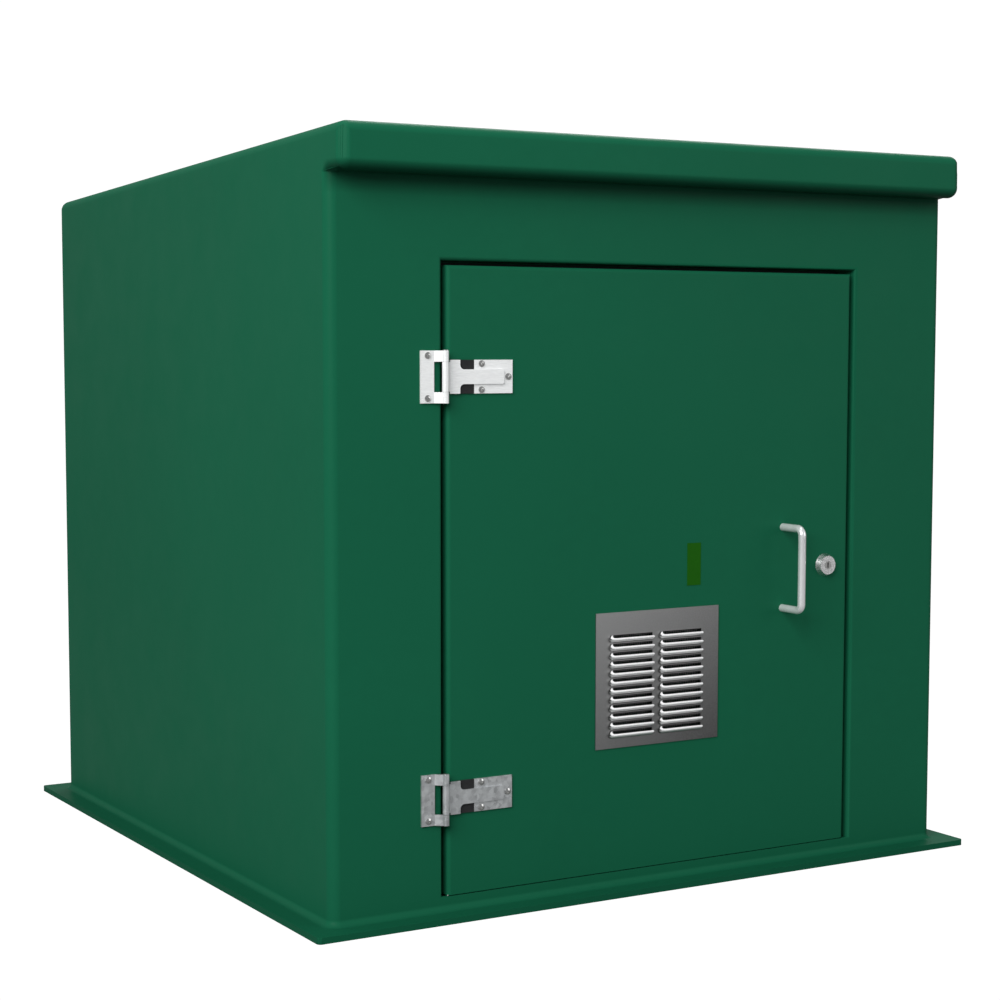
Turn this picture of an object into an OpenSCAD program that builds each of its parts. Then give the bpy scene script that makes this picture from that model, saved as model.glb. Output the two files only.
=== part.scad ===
// Roadside utility cabinet: a one-piece GRP body with a canopy lip and an out-turned base flange,
// a hinged GRP door with a louvred vent, a pull handle and a quarter-turn cam lock.
// Millimetres, +Z up, door facing -Y. The origin is under the middle of the footprint.

/* [Body] */
// Width of the body across its side walls
body_w = 1008; // [700:1:1400]
// Depth of the body from its front face to its rear face
body_d = 1005; // [500:1:1400]
// Height of the roof at the front edge of the lip
body_h = 1025; // [1000:5:1400]
// How far the roof falls from the lip to the rear edge
roof_fall = 38.5; // [20:0.5:80]
// Thickness of the moulded walls and roof
wall_t = 6; // [4:0.5:8]
// Radius of the vertical corners
corner_r = 14.5; // [12:0.5:30]
// Radius of the roof's side and rear edges
roof_edge_r = 14; // [12:1:30]

/* [Canopy lip] */
// How far the lip stands in front of the front face
lip_out = 39.5; // [30:0.5:80]
// Height of the lip's front
lip_h = 61; // [40:1:90]
// Radius of the lip's long edges
lip_r = 14; // [12:1:18]
// Radius of the cove between the lip and the front face
lip_cove_r = 6; // [2:1:12]

/* [Base flange] */
// Width of the flange outside the walls
flange_w = 34; // [25:1:80]
// Thickness of the flange
flange_t = 8.5; // [6:0.5:12]
// Corner radius of the flange
flange_r = 6; // [2:1:20]
// Radius of the cove between the walls and the flange
base_cove_r = 9; // [4:1:14]

/* [Doorway] */
// Clear width of the doorway between its jambs
opening_w = 682; // [560:2:820]
// Height of the doorway's head above the ground
opening_top = 858; // [780:1:880]
// Depth from the front face to the door stop
stop_depth = 38; // [34:1:60]
// Width of the door stop inside the jambs and head
stop_w = 28; // [27:1:34]
// Radius of the doorway's outer edges
jamb_edge_r = 5; // [2:0.5:6]
// Height of the sill, which is flush with the front face
sill_top = 27.5; // [22:0.5:60]
// Width of the rubber seal on the door stop
seal_w = 12; // [8:1:16]

/* [Door] */
// Gap between the door and each jamb
door_gap = 8; // [5:0.5:10]
// Gap between the door and the head of the doorway
head_gap = 6; // [4:0.5:10]
// Gap between the door and the sill
foot_gap = 1.5; // [1:0.1:4]
// Depth of the door over its returned edges
door_t = 33; // [30:1:33]
// Thickness of the door's skin and returned edges
skin_t = 4; // [3:0.5:5]
// Radius of the door's front edges
door_edge_r = 5; // [2:0.5:6]
// Width of a stiffening rib at its foot
rib_w = 60; // [40:1:80]
// Depth of a stiffening rib
rib_t = 16; // [10:1:20]
// Height of the lower rib's middle
rib_low_z = 90; // [90:1:95]
// Height of the upper rib's middle
rib_high_z = 575; // [560:1:600]

/* [Hinges] */
// Height of the upper hinge's middle
hinge_high_z = 709; // [670:1:720]
// Height of the lower hinge's middle
hinge_low_z = 159; // [158:1:170]
// Distance of the pin from the jamb's line, towards the door
pin_inset = 0; // [-1:0.1:4.5]
// Distance of the pin in front of the front face
pin_out = 9.5; // [8.5:0.1:12]
// Radius of the hinge pin
pin_r = 2.5; // [2:0.1:2.6]
// Outer radius of the knuckles
knuckle_r = 4.4; // [4.2:0.1:5]
// Running clearance of the pin in the door's knuckle
pin_clear = 0.05; // [0.02:0.01:0.1]
// Gap between neighbouring knuckles
knuckle_gap = 0.4; // [0.3:0.1:1]
// Height of the frame leaf
leaf_h = 67.5; // [60:0.5:80]
// Thickness of the hinge leaves
leaf_t = 2.5; // [2:0.1:3]
// Distance from the pin to the frame leaf's far edge
leaf_end = 32.4; // [30:0.2:40]
// Height of the door leaf's knuckle window
window_h = 39; // [30:0.5:42]
// Height of the door leaf, its plate and its pad
strap_h = 43.6; // [40:0.2:50]
// Height of the door leaf's tongue
tongue_h = 19; // [14:0.5:22]
// Distance from the pin to the tongue's end
tongue_end = 90.5; // [80:0.5:100]
// Thickness of the clamp plate and the pad
plate_t = 2.2; // [1.5:0.1:3]
// Length of the clamp plate along the door
plate_l = 58; // [50:0.5:70]
// Distance from the pin to the clamp plate's far end
plate_end = 104.5; // [100:0.5:115]

/* [Vent] */
// Width of the louvre plate
vent_w = 205; // [196:1:230]
// Height of the louvre plate
vent_h = 187; // [180:1:210]
// Thickness of the louvre plate
vent_t = 1.5; // [1:0.1:2]
// Sideways place of the louvre plate's middle
vent_x = -1; // [-20:0.5:20]
// Height of the louvre plate's middle
vent_z = 294; // [280:1:300]
// Width of one louvre
louvre_w = 75; // [60:1:80]
// Distance between the two columns of louvres
louvre_col = 82.5; // [80:0.5:90]
// Distance between neighbouring louvres
louvre_pitch = 12; // [11:0.25:12]
// Number of louvres in a column
louvre_n = 12; // [8:1:12]
// Outer radius of a louvre's cup
cup_r = 5.2; // [4:0.1:5.5]
// Height of the slot above a louvre's rim
slot_h = 2.6; // [1.5:0.1:3]
// Sideways place of the louvres from the plate's middle
louvre_dx = -3.2; // [-4:0.1:4]
// Height of the louvres' middle from the plate's middle
louvre_dz = -9; // [-10:0.5:0]
// Thickness of the insect mesh
mesh_t = 0.8; // [0.5:0.1:1.2]
// Thickness of the mesh retainer
retainer_t = 2; // [1.5:0.1:3]

/* [Handle] */
// Diameter of the handle's bar
bar_d = 11; // [8:0.5:14]
// Distance between the middles of the handle's feet
handle_centres = 116; // [96:1:140]
// Clear space between the bar and the door
handle_clear = 38; // [30:1:50]
// Radius of the bar's bends, to its middle
bend_r = 10; // [8:0.5:14]
// Sideways place of the handle
handle_x = 215; // [200:1:230]
// Height of the handle's middle
handle_z = 434; // [420:1:460]

/* [Lock] */
// Sideways place of the lock from the body's middle
lock_x = 292; // [290:0.5:296]
// Height of the lock
lock_z = 434; // [420:1:460]
// Diameter of the lock's rim at the door
rim_d = 34; // [28:1:36]
// Diameter of the lock's face
face_d = 27; // [22:1:28]
// How far the lock's face stands in front of the door
face_out = 7.5; // [5:0.5:12]
// Diameter of the lock's barrel
barrel_d = 19; // [16:0.5:22]
// Diameter of the lock's turning plug
plug_d = 12; // [10:0.5:13]
// Running clearance of the plug in the barrel
plug_clear = 0.05; // [0.02:0.01:0.1]
// Length of the cam from the lock's axis
cam_l = 38; // [32:1:40]
// Width of the cam
cam_w = 16; // [12:1:18]
// Thickness of the cam
cam_t = 3; // [2:0.5:4]
// Clearance between the cam and the keeper
cam_clear = 0.8; // [0.5:0.1:1.5]
// Thickness of the keeper
keeper_t = 1.5; // [1:0.1:2]
// Height of the keeper
keeper_h = 84; // [80:1:100]

/* [Label] */
// Width of the blank label
label_w = 23; // [15:1:30]
// Height of the blank label
label_h = 59; // [40:1:70]
// Thickness of the blank label
label_t = 0.5; // [0.3:0.1:1]
// Sideways place of the label's middle
label_x = 59.5; // [40:1:90]
// Height of the label's middle
label_z = 447; // [430:1:470]

/* [Equipment board] */
// Width of the equipment board
board_w = 820; // [500:10:1000]
// Height of the equipment board
board_h = 780; // [500:10:800]
// Thickness of the equipment board
board_t = 12; // [9:1:18]
// Height of the board's lower edge
board_foot = 80; // [40:5:100]
// Width of each batten
batten_w = 45; // [30:1:60]
// Thickness of each batten
batten_t = 25; // [18:1:40]
// Distance of each batten's middle from the board's side
batten_inset = 90; // [60:5:140]

/* [Hidden] */
$fn = 64;

// Overlap given to cuts and joined pieces, so that no faces coincide
eps = 1;
// Clearance round a fastener in its hole
hole_clear = 0.2;
// Clearance of a seal or a rib from a moving neighbour
soft_clear = 0.3;
// Steps of a quarter-round edge in a profile
arc_n = 10;
// How far an edge's arc runs past the face that it meets, so that the two cross
overrun = 0.02;

// The footprint reaches from the handle or lip in front to the flange behind,
// and the origin sits midway, so the front face is set back by half the difference.
handle_out = handle_clear + bar_d;
front_reach = max(lip_out, flange_w, handle_out);
centre_y = (front_reach - flange_w) / 2;
front = centre_y - body_d / 2;
back = centre_y + body_d / 2;
lip_front = front - lip_out;
lip_z = body_h - lip_h;
roof_a = atan(roof_fall / (body_d + lip_out));
roof_run = body_d + lip_out;

// Doorway and door
jamb_x = opening_w / 2;
stop_back = front + stop_depth + wall_t;
door_w = opening_w - 2 * door_gap;
door_top = opening_top - head_gap;
door_foot = sill_top + foot_gap;
seal_t = stop_depth - door_t - soft_clear;
seal_x = door_w / 2 - skin_t / 2;

// Hinges: u runs from the pin towards the door, v runs out from the front face
pin_x = pin_inset - jamb_x;
pin_y = front - pin_out;
leaf_bend = 12.8;
knuckle_root_r = knuckle_r - eps;
frame_screw_u = -22.5;
frame_screw_dz = 27.4;
wide_u0 = 9.5;
wide_u1 = 24.5;
neck_r = 6;
tongue_r = 3;
pad_u0 = 20;
plate_u0 = plate_end - plate_l;
plate_screws = [[57.2, 16.9], [57.2, -16.9], [97.7, 0]];
strap_v = plate_t;
hinge_zs = [hinge_high_z, hinge_low_z];

// M5 fasteners of the hinges
screw_r = 2.5;
screw_head_r = 4.3;
screw_head_h = 2.4;
screw_socket_r = 1.7;
nut_r = 4.62;
nut_t = 4;
screw_tail = 1.5;

// Vent: its studs pass through the door's skin, the mesh and the retainer
aperture_w = louvre_col + louvre_w + 8;
aperture_h = (louvre_n - 1) * louvre_pitch + 16;
louvre_x = vent_x + louvre_dx;
louvre_z = vent_z + louvre_dz;
cup_t = 1;
cup_sink = 0.5;
vent_slot_h = cup_r - cup_t + slot_h;
stud_r = 2;
stud_dx = vent_w / 2 - 7.5;
stud_dz = vent_h / 2 - 9.5;
mesh_w = vent_w - 6;
mesh_h = vent_h - 10;
retainer_in_w = aperture_w + 2;
retainer_in_h = aperture_h + 2;
stud_nut_r = 4.04;
stud_nut_t = 3.2;
stud_l = skin_t + mesh_t + retainer_t + stud_nut_t + screw_tail;

// Handle and its screws from inside the door
bar_v = handle_clear + bar_d / 2;
handle_screw_r = 2.5;
handle_screw_in = 14;
washer_r = 8;
washer_t = 1.5;

// Lock
cam_y = stop_back + keeper_t + cam_clear;
barrel_end = cam_y - 1.5;
barrel_nut_r = 14;
barrel_nut_t = 5;
spigot_r = 4;
keyway_w = 2.2;
keyway_h = 8;
keyway_d = 6;
cam_screw_r = 1.9;
cam_screw_in = 10;
cam_screw_head_r = 4.6;
cam_screw_head_h = 3;
keeper_x0 = jamb_x - stop_w + 1;
keeper_w = stop_w - 2;
keeper_rivet_x = jamb_x - stop_w + 6;
keeper_rivet_dz = keeper_h / 2 - 6;
rivet_r = 2;
rivet_head_r = 4;
rivet_head_h = 1.2;

// Equipment board on battens at the rear wall
batten_y = back - wall_t - batten_t;
board_y = batten_y - board_t;
batten_x = board_w / 2 - batten_inset;
board_screw_n = 3;
board_screw_edge = 80;
wood_screw_r = 2;
wood_screw_in = 20;
wood_head_r = 4;
wood_head_h = 2;

green = [0.07, 0.33, 0.23];
steel = [0.78, 0.79, 0.79];
chromed = [0.86, 0.87, 0.88];
grey_steel = [0.42, 0.43, 0.43];
black = [0.05, 0.05, 0.05];
timber = [0.66, 0.52, 0.34];

// Points of an arc from angle a0 to a1 about [cx, cy]
function arc(cx, cy, r, a0, a1) =
    [for (i = [0 : arc_n]) let (a = a0 + (a1 - a0) * i / arc_n) [cx + r * cos(a), cy + r * sin(a)]];

// Height of the roof plane at y, sunk by s square to itself
function roof_z(y, s = 0) = body_h - (y - lip_front) * tan(roof_a) - s / cos(roof_a);

// ---------------------------------------------------------------- shared shapes

module rounded_rect(w, d, r) {
    square([w - 2 * r, d], center = true);
    square([w, d - 2 * r], center = true);
    for (sx = [-1, 1])
        for (sy = [-1, 1])
            translate([sx * (w / 2 - r), sy * (d / 2 - r)])
                circle(r);
}

// Extrudes a [y, z] profile across the body's width
module across(w) {
    translate([-w / 2, 0, 0])
        rotate([90, 0, 90])
            linear_extrude(w)
                children();
}

// A cylinder along +Y from y0, of length l
module rod_y(x, y0, z, r, l) {
    translate([x, y0, z])
        rotate([-90, 0, 0])
            cylinder(r = r, h = l);
}

// A hexagonal nut along +Y, with its bore
module nut_y(x, y0, z, r, t, bore) {
    difference() {
        translate([x, y0, z])
            rotate([-90, 0, 0])
                cylinder(r = r, h = t, $fn = 6);
        rod_y(x, y0 - eps, z, bore, t + 2 * eps);
    }
}

// The quarter-round hollow that joins two walls at right angles
module cove(r) {
    difference() {
        translate([-eps, -eps])
            square(r + eps);
        translate([r, r])
            circle(r);
    }
}

// ---------------------------------------------------------------- body

// Everything below the roof plane, with rounded side edges, sunk by s
module roof_envelope(s) {
    half = body_w / 2 - s;
    r = roof_edge_r - s;
    side = half + eps;
    outline = concat([[-side, -2 * body_h], [side, -2 * body_h], [side, -r]],
        arc(half - r + overrun, -r, r, 0, 90), arc(r - half - overrun, -r, r, 90, 180), [[-side, -r]]);
    translate([0, lip_front, body_h])
        rotate([-roof_a, 0, 0])
            translate([0, 2 * roof_run, -s])
                rotate([90, 0, 0])
                    linear_extrude(3 * roof_run)
                        polygon(outline);
}

// The box of the body, sunk by s inside its outer faces and cut off at z0
module body_block(s, z0) {
    y1 = back - s;
    r = roof_edge_r - s;
    rear_arc = arc(y1 - r + overrun, roof_z(y1 - r, s) - r / cos(roof_a) + overrun, r, 0, 90 - roof_a);
    outline = concat([[front - eps, z0], [back + eps, z0], [back + eps, rear_arc[0][1]]],
        rear_arc, [[rear_arc[arc_n][0], 2 * body_h], [front - eps, 2 * body_h]]);
    intersection() {
        across(body_w + 2 * eps)
            polygon(outline);
        translate([0, centre_y, z0 - eps])
            linear_extrude(2 * body_h)
                rounded_rect(body_w - 2 * s, body_d - 2 * s, corner_r - s);
        roof_envelope(s);
    }
}

// The canopy lip, sunk by s and reaching back to y1
module lip_block(s, y1) {
    yc = lip_front + lip_r;
    r = lip_r - s;
    top_arc = arc(yc - overrun, roof_z(yc, s) - r / cos(roof_a) + overrun, r, 90 - roof_a, 180);
    outline = concat(arc(yc - overrun, lip_z + lip_r, r, 180, 270),
        [[y1, lip_z + s], [y1, 2 * body_h], [top_arc[0][0], 2 * body_h]], top_arc);
    intersection() {
        across(body_w + 2 * eps)
            polygon(outline);
        translate([0, centre_y - lip_out / 2, 0])
            linear_extrude(2 * body_h)
                rounded_rect(body_w - 2 * s, body_d + lip_out - 2 * s, corner_r - s);
        roof_envelope(s);
    }
}

// The cove round the foot of the walls
module base_cove() {
    side = body_w / 2;
    for (sx = [-1, 1])
        for (sy = [-1, 1])
            translate([sx * (side - corner_r), centre_y + sy * (body_d / 2 - corner_r), 0])
                rotate([0, 0, sx > 0 ? (sy > 0 ? 0 : -90) : (sy > 0 ? 90 : 180)])
                    rotate_extrude(angle = 90)
                        translate([corner_r, flange_t])
                            cove(base_cove_r);
    for (sx = [-1, 1])
        translate([sx * side, centre_y, flange_t])
            mirror([sx < 0 ? 1 : 0, 0, 0])
                translate([0, body_d / 2 - corner_r, 0])
                    rotate([90, 0, 0])
                        linear_extrude(body_d - 2 * corner_r)
                            cove(base_cove_r);
    for (m = [0, 1])
        translate([0, m ? front : back, flange_t])
            mirror([0, m, 0])
                across(body_w - 2 * corner_r)
                    cove(base_cove_r);
}

// Cuts that round the doorway's outer edges and meet in a mitre at its corners
module jamb_rounding() {
    tall = opening_top - sill_top;
    for (m = [0, 1])
        mirror([m, 0, 0]) {
            translate([jamb_x, front, sill_top])
                linear_extrude(tall)
                    cove(jamb_edge_r);
            intersection() {
                translate([jamb_x, front, sill_top])
                    linear_extrude(tall + jamb_edge_r)
                        cove(jamb_edge_r);
                translate([0, front, opening_top])
                    across(opening_w + 2 * jamb_edge_r)
                        cove(jamb_edge_r);
            }
        }
    translate([0, front, opening_top])
        across(opening_w)
            cove(jamb_edge_r);
}

// The returned jambs and head with their stop
module door_frame() {
    outer_w = opening_w + 2 * wall_t;
    stop_in_w = opening_w - 2 * stop_w;
    difference() {
        translate([-outer_w / 2, front + wall_t / 2, 0])
            cube([outer_w, stop_depth + wall_t / 2, opening_top + wall_t]);
        translate([-opening_w / 2, front - eps, -eps])
            cube([opening_w, stop_depth + eps, opening_top + eps]);
        translate([-stop_in_w / 2, front, -eps])
            cube([stop_in_w, stop_depth + 2 * wall_t, opening_top - stop_w + eps]);
    }
}

module body_shell() color(green) {
    difference() {
        union() {
            body_block(0, 0);
            lip_block(0, front + corner_r + eps);
            translate([0, front, lip_z])
                mirror([0, 1, 0])
                    mirror([0, 0, 1])
                        across(body_w - 2 * corner_r)
                            cove(lip_cove_r);
            translate([0, centre_y, 0])
                linear_extrude(flange_t)
                    rounded_rect(body_w + 2 * flange_w, body_d + 2 * flange_w, flange_r);
            base_cove();
        }
        body_block(wall_t, -eps);
        lip_block(wall_t, front + wall_t + eps);
        translate([-jamb_x, front - 2 * eps, sill_top])
            cube([opening_w, wall_t + 4 * eps, opening_top - sill_top]);
        jamb_rounding();
        keeper_holes();
        frame_screw_holes();
    }
    difference() {
        door_frame();
        jamb_rounding();
        keeper_holes();
    }
}

module frame_screw_holes() {
    for (z = hinge_zs)
        for (dz = [-frame_screw_dz, frame_screw_dz])
            rod_y(pin_x + frame_screw_u, front - eps, z + dz, screw_r + hole_clear, wall_t + 2 * eps);
}

module keeper_holes() {
    for (dz = [-keeper_rivet_dz, keeper_rivet_dz])
        rod_y(keeper_rivet_x, stop_back - wall_t - eps, lock_z + dz,
            rivet_r + hole_clear, wall_t + 2 * eps);
}

module door_seal() color(black) {
    outer_w = 2 * seal_x + seal_w;
    inner_w = outer_w - 2 * seal_w;
    top = door_top - skin_t / 2 + seal_w / 2;
    difference() {
        translate([-outer_w / 2, front + door_t + soft_clear, sill_top])
            cube([outer_w, seal_t, top - sill_top]);
        translate([-inner_w / 2, front + door_t, sill_top - eps])
            cube([inner_w, seal_t + 2 * eps, top - seal_w - sill_top + eps]);
    }
}

module equipment_board() color(timber)
    difference() {
        translate([-board_w / 2, board_y, board_foot])
            cube([board_w, board_t, board_h]);
        board_screw_places()
            rod_y(0, -eps, 0, wood_screw_r + hole_clear, board_t + 2 * eps);
    }

module board_battens() color(timber)
    difference() {
        for (sx = [-1, 1])
            translate([sx * batten_x - batten_w / 2, batten_y, board_foot])
                cube([batten_w, batten_t, board_h]);
        board_screw_places()
            rod_y(0, board_t - eps, 0, wood_screw_r + hole_clear, wood_screw_in + eps);
    }

module board_screws() color(steel)
    board_screw_places() {
        rod_y(0, -wood_head_h, 0, wood_head_r, wood_head_h);
        rod_y(0, -wood_head_h / 2, 0, wood_screw_r, board_t + wood_screw_in - eps);
    }

module board_screw_places() {
    step = (board_h - 2 * board_screw_edge) / (board_screw_n - 1);
    for (sx = [-1, 1])
        for (i = [0 : board_screw_n - 1])
            translate([sx * batten_x, board_y, board_foot + board_screw_edge + i * step])
                children();
}

// ---------------------------------------------------------------- hinges

// Extrudes a [u, v] outline upwards from z0 at the pin: u towards the door, v outwards
module hinge_prism(z0, h) {
    translate([pin_x, front, z0])
        mirror([0, 1, 0])
            linear_extrude(h)
                children();
}

// Extrudes a [u, z] outline outwards from v0 at the hinge's middle
module hinge_plate(z, v0, t) {
    translate([pin_x, front - v0, z])
        rotate([90, 0, 0])
            linear_extrude(t)
                children();
}

// The sloping arm that lifts the frame leaf to its knuckle, and starts inside it
module frame_arm_outline() {
    top = [-knuckle_root_r * cos(43), pin_out + knuckle_root_r * sin(43)];
    foot = [-knuckle_root_r * sin(30), pin_out - knuckle_root_r * cos(30)];
    polygon([[-leaf_bend - eps, 0], [-leaf_bend - eps, leaf_t], [-leaf_bend, leaf_t], top,
        [0, pin_out], foot, [-leaf_bend + 1.4, 0]]);
}

// The bend that brings the door leaf down from its knuckle, and starts inside it
module strap_bend_outline() {
    outer = [knuckle_root_r * cos(35), pin_out - knuckle_root_r * sin(35)];
    foot = [-knuckle_root_r * sin(20), pin_out - knuckle_root_r * cos(20)];
    polygon([[0, pin_out], foot, [wide_u0 - 3.5, strap_v], [wide_u0 + eps, strap_v],
        [wide_u0 + eps, strap_v + leaf_t], [wide_u0 - 1, strap_v + leaf_t], outer]);
}

module frame_leaf(z) color(steel)
    difference() {
        union() {
            hinge_prism(z - leaf_h / 2, leaf_h)
                translate([-leaf_end, 0])
                    square([leaf_end - leaf_bend, leaf_t]);
            for (z0 = [z - leaf_h / 2, z + window_h / 2])
                hinge_prism(z0, (leaf_h - window_h) / 2) {
                    frame_arm_outline();
                    translate([0, pin_out])
                        circle(knuckle_r);
                }
        }
        translate([pin_x, pin_y, z - leaf_h])
            cylinder(r = pin_r + pin_clear, h = 2 * leaf_h);
        for (dz = [-frame_screw_dz, frame_screw_dz])
            rod_y(pin_x + frame_screw_u, front - leaf_t - eps, z + dz, screw_r + hole_clear, leaf_t + 2 * eps);
    }

module hinge_pin(z) color(steel) {
    translate([pin_x, pin_y, z - leaf_h / 2])
        cylinder(r = pin_r, h = leaf_h);
    translate([pin_x, pin_y, z + leaf_h / 2])
        cylinder(r = knuckle_r - 0.8, h = 1);
}

// The wide root, the filleted neck and the tongue, seen from in front
module strap_outline() {
    half = strap_h / 2;
    waist = tongue_h / 2;
    neck_u = wide_u1 + neck_r;
    end_u = tongue_end - tongue_r;
    polygon(concat([[wide_u0, -half], [wide_u1, -half]],
        arc(neck_u, -waist - neck_r, neck_r, 180, 90), arc(end_u, tongue_r - waist, tongue_r, -90, 0),
        arc(end_u, waist - tongue_r, tongue_r, 0, 90), arc(neck_u, waist + neck_r, neck_r, 270, 180),
        [[wide_u1, half], [wide_u0, half]]));
}

module door_leaf(z) color(steel)
    difference() {
        union() {
            hinge_plate(z, strap_v, leaf_t)
                strap_outline();
            hinge_prism(z - window_h / 2 + knuckle_gap, window_h - 2 * knuckle_gap) {
                strap_bend_outline();
                translate([0, pin_out])
                    circle(knuckle_r);
            }
        }
        translate([pin_x, pin_y, z - leaf_h])
            cylinder(r = pin_r + pin_clear, h = 2 * leaf_h);
    }

module clamp_plate(z) color(steel)
    difference() {
        hinge_plate(z, 0, plate_t)
            translate([plate_u0, -strap_h / 2])
                square([plate_l, strap_h]);
        for (p = plate_screws)
            rod_y(pin_x + p[0], front - plate_t - eps, z + p[1], screw_r + hole_clear, plate_t + 2 * eps);
    }

module hinge_pad(z) color(black)
    hinge_plate(z, 0, plate_t)
        translate([pad_u0, -strap_h / 2])
            square([plate_u0 - pad_u0, strap_h]);

// A domed screw whose head bears on a plate of thickness t against the front face
module hinge_screw(x, z, t, grip) {
    difference() {
        union() {
            rod_y(x, front - t - eps, z, screw_r, t + eps + grip);
            translate([x, front - t, z])
                rotate([90, 0, 0])
                    rotate_extrude()
                        intersection() {
                            square([screw_head_r, screw_head_h]);
                            translate([0, screw_head_h - 2 * screw_head_r])
                                circle(2 * screw_head_r);
                        }
        }
        translate([x, front - t - screw_head_h / 2, z])
            rotate([90, 0, 0])
                cylinder(r = screw_socket_r, h = screw_head_h, $fn = 6);
    }
}

module frame_hinge_screws() color(steel)
    for (z = hinge_zs)
        for (dz = [-frame_screw_dz, frame_screw_dz])
            hinge_screw(pin_x + frame_screw_u, z + dz, leaf_t, wall_t + nut_t + screw_tail);

module frame_hinge_nuts() color(steel)
    for (z = hinge_zs)
        for (dz = [-frame_screw_dz, frame_screw_dz])
            nut_y(pin_x + frame_screw_u, front + wall_t, z + dz, nut_r, nut_t, screw_r + hole_clear / 2);

module door_hinge_screws() color(steel)
    for (z = hinge_zs)
        for (p = plate_screws)
            hinge_screw(pin_x + p[0], z + p[1], plate_t, skin_t + nut_t + screw_tail);

module door_hinge_nuts() color(steel)
    for (z = hinge_zs)
        for (p = plate_screws)
            nut_y(pin_x + p[0], front + skin_t, z + p[1], nut_r, nut_t, screw_r + hole_clear / 2);

// ---------------------------------------------------------------- door

// A stiffening rib with sloping sides, moulded to the back of the skin
module door_rib(z) {
    translate([0, front + skin_t - eps / 2, z])
        across(door_w - skin_t)
            polygon([[0, -rib_w / 2], [rib_t + eps / 2, -rib_w / 4], [rib_t + eps / 2, rib_w / 4],
                [0, rib_w / 2]]);
}

module door_panel() color(green)
    difference() {
        union() {
            difference() {
                door_block();
                translate([skin_t - door_w / 2, front + skin_t, door_foot + skin_t])
                    cube([door_w - 2 * skin_t, door_t, door_top - door_foot - 2 * skin_t]);
            }
            door_rib(rib_low_z);
            door_rib(rib_high_z);
        }
        translate([louvre_x - aperture_w / 2, front - eps, louvre_z - aperture_h / 2])
            cube([aperture_w, skin_t + 2 * eps, aperture_h]);
        stud_places()
            rod_y(0, -eps, 0, stud_r + hole_clear, skin_t + 2 * eps);
        for (z = hinge_zs)
            for (p = plate_screws)
                rod_y(pin_x + p[0], front - eps, z + p[1], screw_r + hole_clear, skin_t + 2 * eps);
        handle_feet()
            rod_y(0, -eps, 0, handle_screw_r + hole_clear, skin_t + 2 * eps);
        rod_y(lock_x, front - eps, lock_z, barrel_d / 2 + hole_clear, skin_t + 2 * eps);
    }

// The door's outer block with its front edges rounded at the sides and the top
module door_block() {
    half = door_w / 2;
    r = door_edge_r;
    plan = concat([[half, front + door_t], [-half, front + door_t]],
        arc(r - half, front + r, r, 180, 270), arc(half - r, front + r, r, 270, 360));
    side = concat([[front, door_foot], [front + door_t, door_foot], [front + door_t, door_top]],
        arc(front + r, door_top - r, r, 90, 180));
    intersection() {
        linear_extrude(2 * door_top)
            polygon(plan);
        across(2 * door_w)
            polygon(side);
    }
}

// ---------------------------------------------------------------- vent

module stud_places() {
    for (sx = [-1, 1])
        for (sz = [-1, 1])
            translate([vent_x + sx * stud_dx, front, vent_z + sz * stud_dz])
                children();
}

module louvre_places() {
    for (c = [-1, 1])
        for (i = [0 : louvre_n - 1])
            translate([louvre_x + c * louvre_col / 2, front - vent_t + cup_sink,
                louvre_z + (i - (louvre_n - 1) / 2) * louvre_pitch])
                children();
}

// A quarter ring below and in front of the rim, in [outwards, up]
module cup_section() {
    intersection() {
        translate([0, -cup_r])
            square(cup_r);
        difference() {
            circle(cup_r);
            circle(cup_r - cup_t);
        }
    }
}

// A pressed cup, open at the top, whose ends close on the plate
module louvre_cup() {
    straight = louvre_w - 2 * cup_r;
    mirror([0, 1, 0])
        across(straight)
            cup_section();
    for (sx = [-1, 1])
        translate([sx * straight / 2, 0, 0])
            rotate([0, 0, sx > 0 ? -90 : 180])
                rotate_extrude(angle = 90)
                    cup_section();
}

module louvre_plate() color(grey_steel) {
    difference() {
        translate([vent_x - vent_w / 2, front - vent_t, vent_z - vent_h / 2])
            cube([vent_w, vent_t, vent_h]);
        louvre_places()
            translate([cup_r - louvre_w / 2, -vent_t - eps, cup_t - cup_r])
                cube([louvre_w - 2 * cup_r, 2 * vent_t + 2 * eps, vent_slot_h]);
    }
    louvre_places()
        louvre_cup();
    stud_places()
        rod_y(0, -vent_t / 2, 0, stud_r, stud_l + vent_t / 2);
}

module insect_mesh() color(steel)
    difference() {
        translate([vent_x - mesh_w / 2, front + skin_t, vent_z - mesh_h / 2])
            cube([mesh_w, mesh_t, mesh_h]);
        stud_places()
            rod_y(0, skin_t - eps, 0, stud_r + hole_clear, mesh_t + 2 * eps);
    }

module mesh_retainer() color(steel)
    difference() {
        translate([vent_x - mesh_w / 2, front + skin_t + mesh_t, vent_z - mesh_h / 2])
            cube([mesh_w, retainer_t, mesh_h]);
        translate([louvre_x - retainer_in_w / 2, front + skin_t, louvre_z - retainer_in_h / 2])
            cube([retainer_in_w, mesh_t + 2 * retainer_t, retainer_in_h]);
        stud_places()
            rod_y(0, skin_t, 0, stud_r + hole_clear, mesh_t + 2 * retainer_t);
    }

module mesh_nuts() color(steel)
    stud_places()
        nut_y(0, skin_t + mesh_t + retainer_t, 0, stud_nut_r, stud_nut_t, stud_r + hole_clear / 2);

// ---------------------------------------------------------------- handle

module handle_feet() {
    for (sz = [-1, 1])
        translate([handle_x, front, handle_z + sz * handle_centres / 2])
            children();
}

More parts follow.
